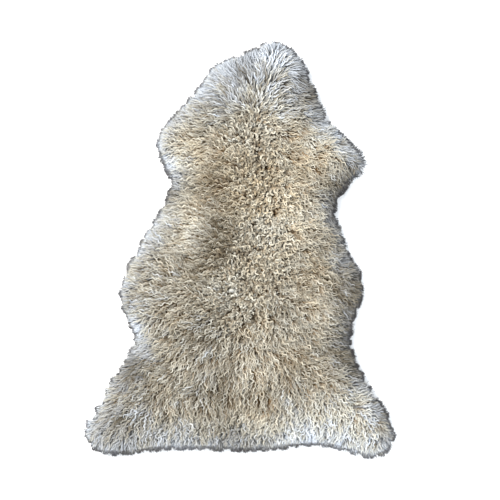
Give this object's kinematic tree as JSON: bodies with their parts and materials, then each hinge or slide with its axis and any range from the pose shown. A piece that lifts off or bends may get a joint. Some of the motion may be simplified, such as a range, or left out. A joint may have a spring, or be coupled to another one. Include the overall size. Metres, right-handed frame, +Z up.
{
  "type": "sheepskin rug",
  "caption": "Whole sheepskin rug: a flat tanned hide in the animal's outline under a long, curly cream fleece whose locks spill past its edge onto the floor.",
  "frame": {"origin": "on the floor, under the middle of the rug's bounding box", "axes": "+Y from tail to head, +Z up out of the wool, +X to the right when seen from above with the head up"},
  "size_m": [0.7286, 1.0292, 0.0537],
  "materials": {
    "wool": "long crimped cream wool, straw at the tips and paler towards the rim",
    "hide": "tanned flesh side, suede nap"
  },
  "bodies": {
    "root": {"fleece": "wool", "hide": "hide"}
  },
  "joints": []
}
